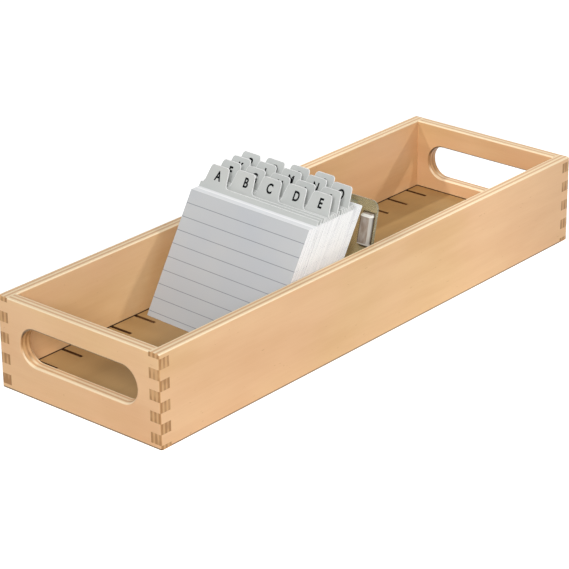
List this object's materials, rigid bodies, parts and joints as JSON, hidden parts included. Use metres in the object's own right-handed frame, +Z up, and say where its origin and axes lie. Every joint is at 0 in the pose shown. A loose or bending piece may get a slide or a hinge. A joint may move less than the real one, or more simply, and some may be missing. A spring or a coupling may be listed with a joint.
{
  "type": "index card drawer",
  "caption": "Long open plywood card drawer with finger joints, hand slots and a slotted floor, holding a leaning file of lettered dividers and cards against a clear support.",
  "frame": {"origin": "middle of the tray's underside, on the surface it stands on", "axes": "+Z up, +Y along the tray from the front end panel to the rear one, +X to the right when facing the front end panel"},
  "size_m": [0.192, 0.592, 0.1448],
  "materials": {
    "birch_ply": "satin lacquer",
    "floor_ply": "satin lacquer",
    "clear_plastic": "clear gloss",
    "grey_divider": "fine matt",
    "card_stock": "uncoated card"
  },
  "bodies": {
    "tray": {"front_panel": "birch_ply", "rear_panel": "birch_ply", "left_side": "birch_ply", "right_side": "birch_ply", "bottom_panel": "floor_ply"},
    "support": {"card_support": "clear_plastic"},
    "front_stack": {"front_cards": "card_stock"},
    "section_a": {"divider_a": "grey_divider", "cards_a": "card_stock"},
    "section_b": {"divider_b": "grey_divider", "cards_b": "card_stock"},
    "section_c": {"divider_c": "grey_divider", "cards_c": "card_stock"},
    "section_d": {"divider_d": "grey_divider", "cards_d": "card_stock"},
    "section_e": {"divider_e": "grey_divider", "cards_e": "card_stock"},
    "section_f": {"divider_f": "grey_divider", "cards_f": "card_stock"},
    "section_g": {"divider_g": "grey_divider", "cards_g": "card_stock"},
    "section_h": {"divider_h": "grey_divider", "cards_h": "card_stock"},
    "section_i": {"divider_i": "grey_divider", "cards_i": "card_stock"},
    "section_j": {"divider_j": "grey_divider", "cards_j": "card_stock"},
    "section_k": {"divider_k": "grey_divider", "cards_k": "card_stock"},
    "section_l": {"divider_l": "grey_divider", "cards_l": "card_stock"},
    "section_m": {"divider_m": "grey_divider", "cards_m": "card_stock"},
    "section_n": {"divider_n": "grey_divider", "cards_n": "card_stock"},
    "section_o": {"divider_o": "grey_divider", "cards_o": "card_stock"},
    "section_p": {"divider_p": "grey_divider", "cards_p": "card_stock"},
    "section_q": {"divider_q": "grey_divider", "cards_q": "card_stock"},
    "section_r": {"divider_r": "grey_divider", "cards_r": "card_stock"},
    "section_s": {"divider_s": "grey_divider", "cards_s": "card_stock"},
    "rear_stack": {"rear_cards": "card_stock"}
  },
  "joints": [
    {"name": "support_lift", "type": "slide", "parent": "tray", "child": "support", "axis": [0, 0.225, 0.9744], "range_m": [0, 0.12]},
    {"name": "front_cards_tip", "type": "hinge", "parent": "tray", "child": "front_stack", "pos_m": [-0.001, -0.13735, 0.0173], "axis": [0.9986, -0.0523, 0], "range_deg": [0, 64]},
    {"name": "section_a_tip", "type": "hinge", "parent": "tray", "child": "section_a", "pos_m": [-0.001, -0.12723, 0.0173], "axis": [0.9986, -0.0523, 0], "range_deg": [0, 61.13]},
    {"name": "section_b_tip", "type": "hinge", "parent": "tray", "child": "section_b", "pos_m": [-0.001, -0.12254, 0.0173], "axis": [0.9986, -0.0523, 0], "range_deg": [0, 58.25]},
    {"name": "section_c_tip", "type": "hinge", "parent": "tray", "child": "section_c", "pos_m": [-0.001, -0.11816, 0.0173], "axis": [0.9986, -0.0523, 0], "range_deg": [0, 55.37]},
    {"name": "section_d_tip", "type": "hinge", "parent": "tray", "child": "section_d", "pos_m": [-0.001, -0.11605, 0.0173], "axis": [0.9986, -0.0523, 0], "range_deg": [0, 52.49]},
    {"name": "section_e_tip", "type": "hinge", "parent": "tray", "child": "section_e", "pos_m": [-0.001, -0.11361, 0.0173], "axis": [0.9986, -0.0523, 0], "range_deg": [0, 49.61]},
    {"name": "section_f_tip", "type": "hinge", "parent": "tray", "child": "section_f", "pos_m": [-0.001, -0.11117, 0.0173], "axis": [0.9986, -0.0523, 0], "range_deg": [0, 46.73]},
    {"name": "section_g_tip", "type": "hinge", "parent": "tray", "child": "section_g", "pos_m": [-0.001, -0.10873, 0.0173], "axis": [0.9986, -0.0523, 0], "range_deg": [0, 43.85]},
    {"name": "section_h_tip", "type": "hinge", "parent": "tray", "child": "section_h", "pos_m": [-0.001, -0.10629, 0.0173], "axis": [0.9986, -0.0523, 0], "range_deg": [0, 40.97]},
    {"name": "section_i_tip", "type": "hinge", "parent": "tray", "child": "section_i", "pos_m": [-0.001, -0.10385, 0.0173], "axis": [0.9986, -0.0523, 0], "range_deg": [0, 38.09]},
    {"name": "section_j_tip", "type": "hinge", "parent": "tray", "child": "section_j", "pos_m": [-0.001, -0.10109, 0.0173], "axis": [0.9986, -0.0523, 0], "range_deg": [0, 35.21]},
    {"name": "section_k_tip", "type": "hinge", "parent": "tray", "child": "section_k", "pos_m": [-0.001, -0.09768, 0.0173], "axis": [0.9986, -0.0523, 0], "range_deg": [0, 32.33]},
    {"name": "section_l_tip", "type": "hinge", "parent": "tray", "child": "section_l", "pos_m": [-0.001, -0.09331, 0.0173], "axis": [0.9986, -0.0523, 0], "range_deg": [0, 29.45]},
    {"name": "section_m_tip", "type": "hinge", "parent": "tray", "child": "section_m", "pos_m": [-0.001, -0.09055, 0.0173], "axis": [0.9986, -0.0523, 0], "range_deg": [0, 26.57]},
    {"name": "section_n_tip", "type": "hinge", "parent": "tray", "child": "section_n", "pos_m": [-0.001, -0.08811, 0.0173], "axis": [0.9986, -0.0523, 0], "range_deg": [0, 23.69]},
    {"name": "section_o_tip", "type": "hinge", "parent": "tray", "child": "section_o", "pos_m": [-0.001, -0.08567, 0.0173], "axis": [0.9986, -0.0523, 0], "range_deg": [0, 20.81]},
    {"name": "section_p_tip", "type": "hinge", "parent": "tray", "child": "section_p", "pos_m": [-0.001, -0.08356, 0.0173], "axis": [0.9986, -0.0523, 0], "range_deg": [0, 17.93]},
    {"name": "section_q_tip", "type": "hinge", "parent": "tray", "child": "section_q", "pos_m": [-0.001, -0.08144, 0.0173], "axis": [0.9986, -0.0523, 0], "range_deg": [0, 15.05]},
    {"name": "section_r_tip", "type": "hinge", "parent": "tray", "child": "section_r", "pos_m": [-0.001, -0.079, 0.0173], "axis": [0.9986, -0.0523, 0], "range_deg": [0, 12.17]},
    {"name": "section_s_tip", "type": "hinge", "parent": "tray", "child": "section_s", "pos_m": [-0.001, -0.07656, 0.0173], "axis": [0.9986, -0.0523, 0], "range_deg": [0, 9.29]},
    {"name": "rear_cards_tip", "type": "hinge", "parent": "tray", "child": "rear_stack", "pos_m": [-0.001, -0.07412, 0.0173], "axis": [0.9986, -0.0523, 0], "range_deg": [0, 6.41]}
  ],
  "couplings": [
    {"joint": "section_a_tip", "follows": "front_cards_tip", "ratio": 0.955},
    {"joint": "section_b_tip", "follows": "front_cards_tip", "ratio": 0.91},
    {"joint": "section_c_tip", "follows": "front_cards_tip", "ratio": 0.865},
    {"joint": "section_d_tip", "follows": "front_cards_tip", "ratio": 0.82},
    {"joint": "section_e_tip", "follows": "front_cards_tip", "ratio": 0.775},
    {"joint": "section_f_tip", "follows": "front_cards_tip", "ratio": 0.73},
    {"joint": "section_g_tip", "follows": "front_cards_tip", "ratio": 0.685},
    {"joint": "section_h_tip", "follows": "front_cards_tip", "ratio": 0.64},
    {"joint": "section_i_tip", "follows": "front_cards_tip", "ratio": 0.595},
    {"joint": "section_j_tip", "follows": "front_cards_tip", "ratio": 0.55},
    {"joint": "section_k_tip", "follows": "front_cards_tip", "ratio": 0.505},
    {"joint": "section_l_tip", "follows": "front_cards_tip", "ratio": 0.46},
    {"joint": "section_m_tip", "follows": "front_cards_tip", "ratio": 0.415},
    {"joint": "section_n_tip", "follows": "front_cards_tip", "ratio": 0.37},
    {"joint": "section_o_tip", "follows": "front_cards_tip", "ratio": 0.325},
    {"joint": "section_p_tip", "follows": "front_cards_tip", "ratio": 0.28},
    {"joint": "section_q_tip", "follows": "front_cards_tip", "ratio": 0.235},
    {"joint": "section_r_tip", "follows": "front_cards_tip", "ratio": 0.19},
    {"joint": "section_s_tip", "follows": "front_cards_tip", "ratio": 0.145},
    {"joint": "rear_cards_tip", "follows": "front_cards_tip", "ratio": 0.1}
  ]
}
